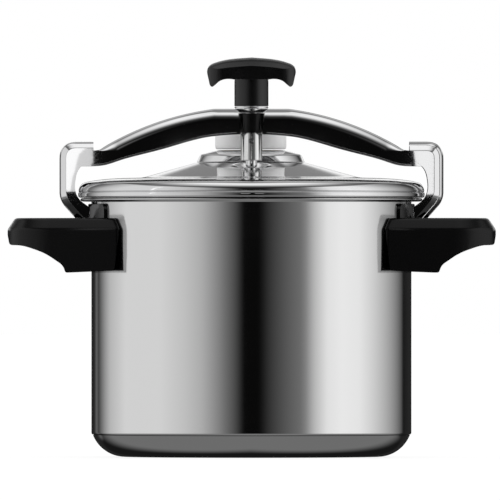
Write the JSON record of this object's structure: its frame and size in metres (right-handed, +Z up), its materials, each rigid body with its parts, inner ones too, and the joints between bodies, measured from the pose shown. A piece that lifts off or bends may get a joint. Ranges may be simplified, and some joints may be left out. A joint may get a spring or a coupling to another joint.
{
  "type": "pressure canner",
  "caption": "Stovetop pressure canner: straight-sided steel pot, domed lid held down by an arched screw yoke under side hooks, black T knob and black side handles.",
  "frame": {"origin": "middle of the base, on the surface the pot stands on", "axes": "+Z up through the pot and the screw; +X through the right handle; the front faces -Y, with the valve behind the yoke at +Y"},
  "size_m": [0.3414, 0.2426, 0.2795],
  "materials": {
    "brushed_steel": "circumferentially brushed, satin",
    "polished_steel": "mirror polished stainless steel",
    "lid_steel": "polished with faint turning marks",
    "spring_steel": "plain machined steel",
    "aluminium": "plain disc",
    "brass": "machined",
    "black_moulding": "satin moulded thermoset",
    "rubber": "matt seal rubber"
  },
  "bodies": {
    "pot": {"pot_body": "brushed_steel", "base_core_disc": "aluminium", "base_cap": "polished_steel", "left_mount_plate": "polished_steel", "left_hook": "polished_steel", "left_handle": "black_moulding", "left_handle_screw": "spring_steel", "left_handle_washer": "spring_steel", "right_mount_plate": "polished_steel", "right_hook": "polished_steel", "right_handle": "black_moulding", "right_handle_screw": "spring_steel", "right_handle_washer": "spring_steel"},
    "lid": {"lid_shell": "lid_steel", "lid_gasket": "rubber", "valve_hub": "polished_steel", "valve_stem": "brass", "valve_seal": "rubber", "valve_nut": "brass", "valve_strainer": "polished_steel"},
    "needle": {"valve_needle": "brass"},
    "weight": {"weight_core": "brass", "weight_cover": "polished_steel"},
    "yoke": {"yoke_channel": "polished_steel", "yoke_tube": "polished_steel", "tube_shroud": "black_moulding"},
    "screw": {"spindle": "spring_steel", "retaining_pin": "spring_steel", "knob_washer": "polished_steel", "knob": "black_moulding"},
    "plunger": {"plunger": "polished_steel", "plunger_spring": "spring_steel"}
  },
  "joints": [
    {"name": "lid_vent", "type": "slide", "parent": "pot", "child": "lid", "axis": [0, 0, 1], "range_m": [0, 0.0012], "stiffness_N_per_m": 4000, "springref_m": -0.004},
    {"name": "yoke_drop", "type": "slide", "parent": "pot", "child": "yoke", "axis": [0, 0, -1], "range_m": [0, 0.004]},
    {"name": "knob_turn", "type": "hinge", "parent": "pot", "child": "screw", "pos_m": [0, 0, 0.2453], "axis": [0, 0, 1], "range_deg": [0, 720]},
    {"name": "plunger_press", "type": "slide", "parent": "screw", "child": "plunger", "axis": [0, 0, 1], "range_m": [0, 0.0013], "deforming": ["plunger_spring"]},
    {"name": "valve_lift", "type": "slide", "parent": "lid", "child": "needle", "axis": [0, 0, 1], "range_m": [0, 0.025]},
    {"name": "valve_spin", "type": "hinge", "parent": "needle", "child": "weight", "pos_m": [0, 0.0515, 0.229], "axis": [0, 0, 1], "continuous": true}
  ],
  "couplings": [
    {"joint": "knob_turn", "follows": "yoke_drop", "rad_per_m": 3141.6},
    {"joint": "plunger_press", "follows": "lid_vent", "ratio": 1}
  ]
}
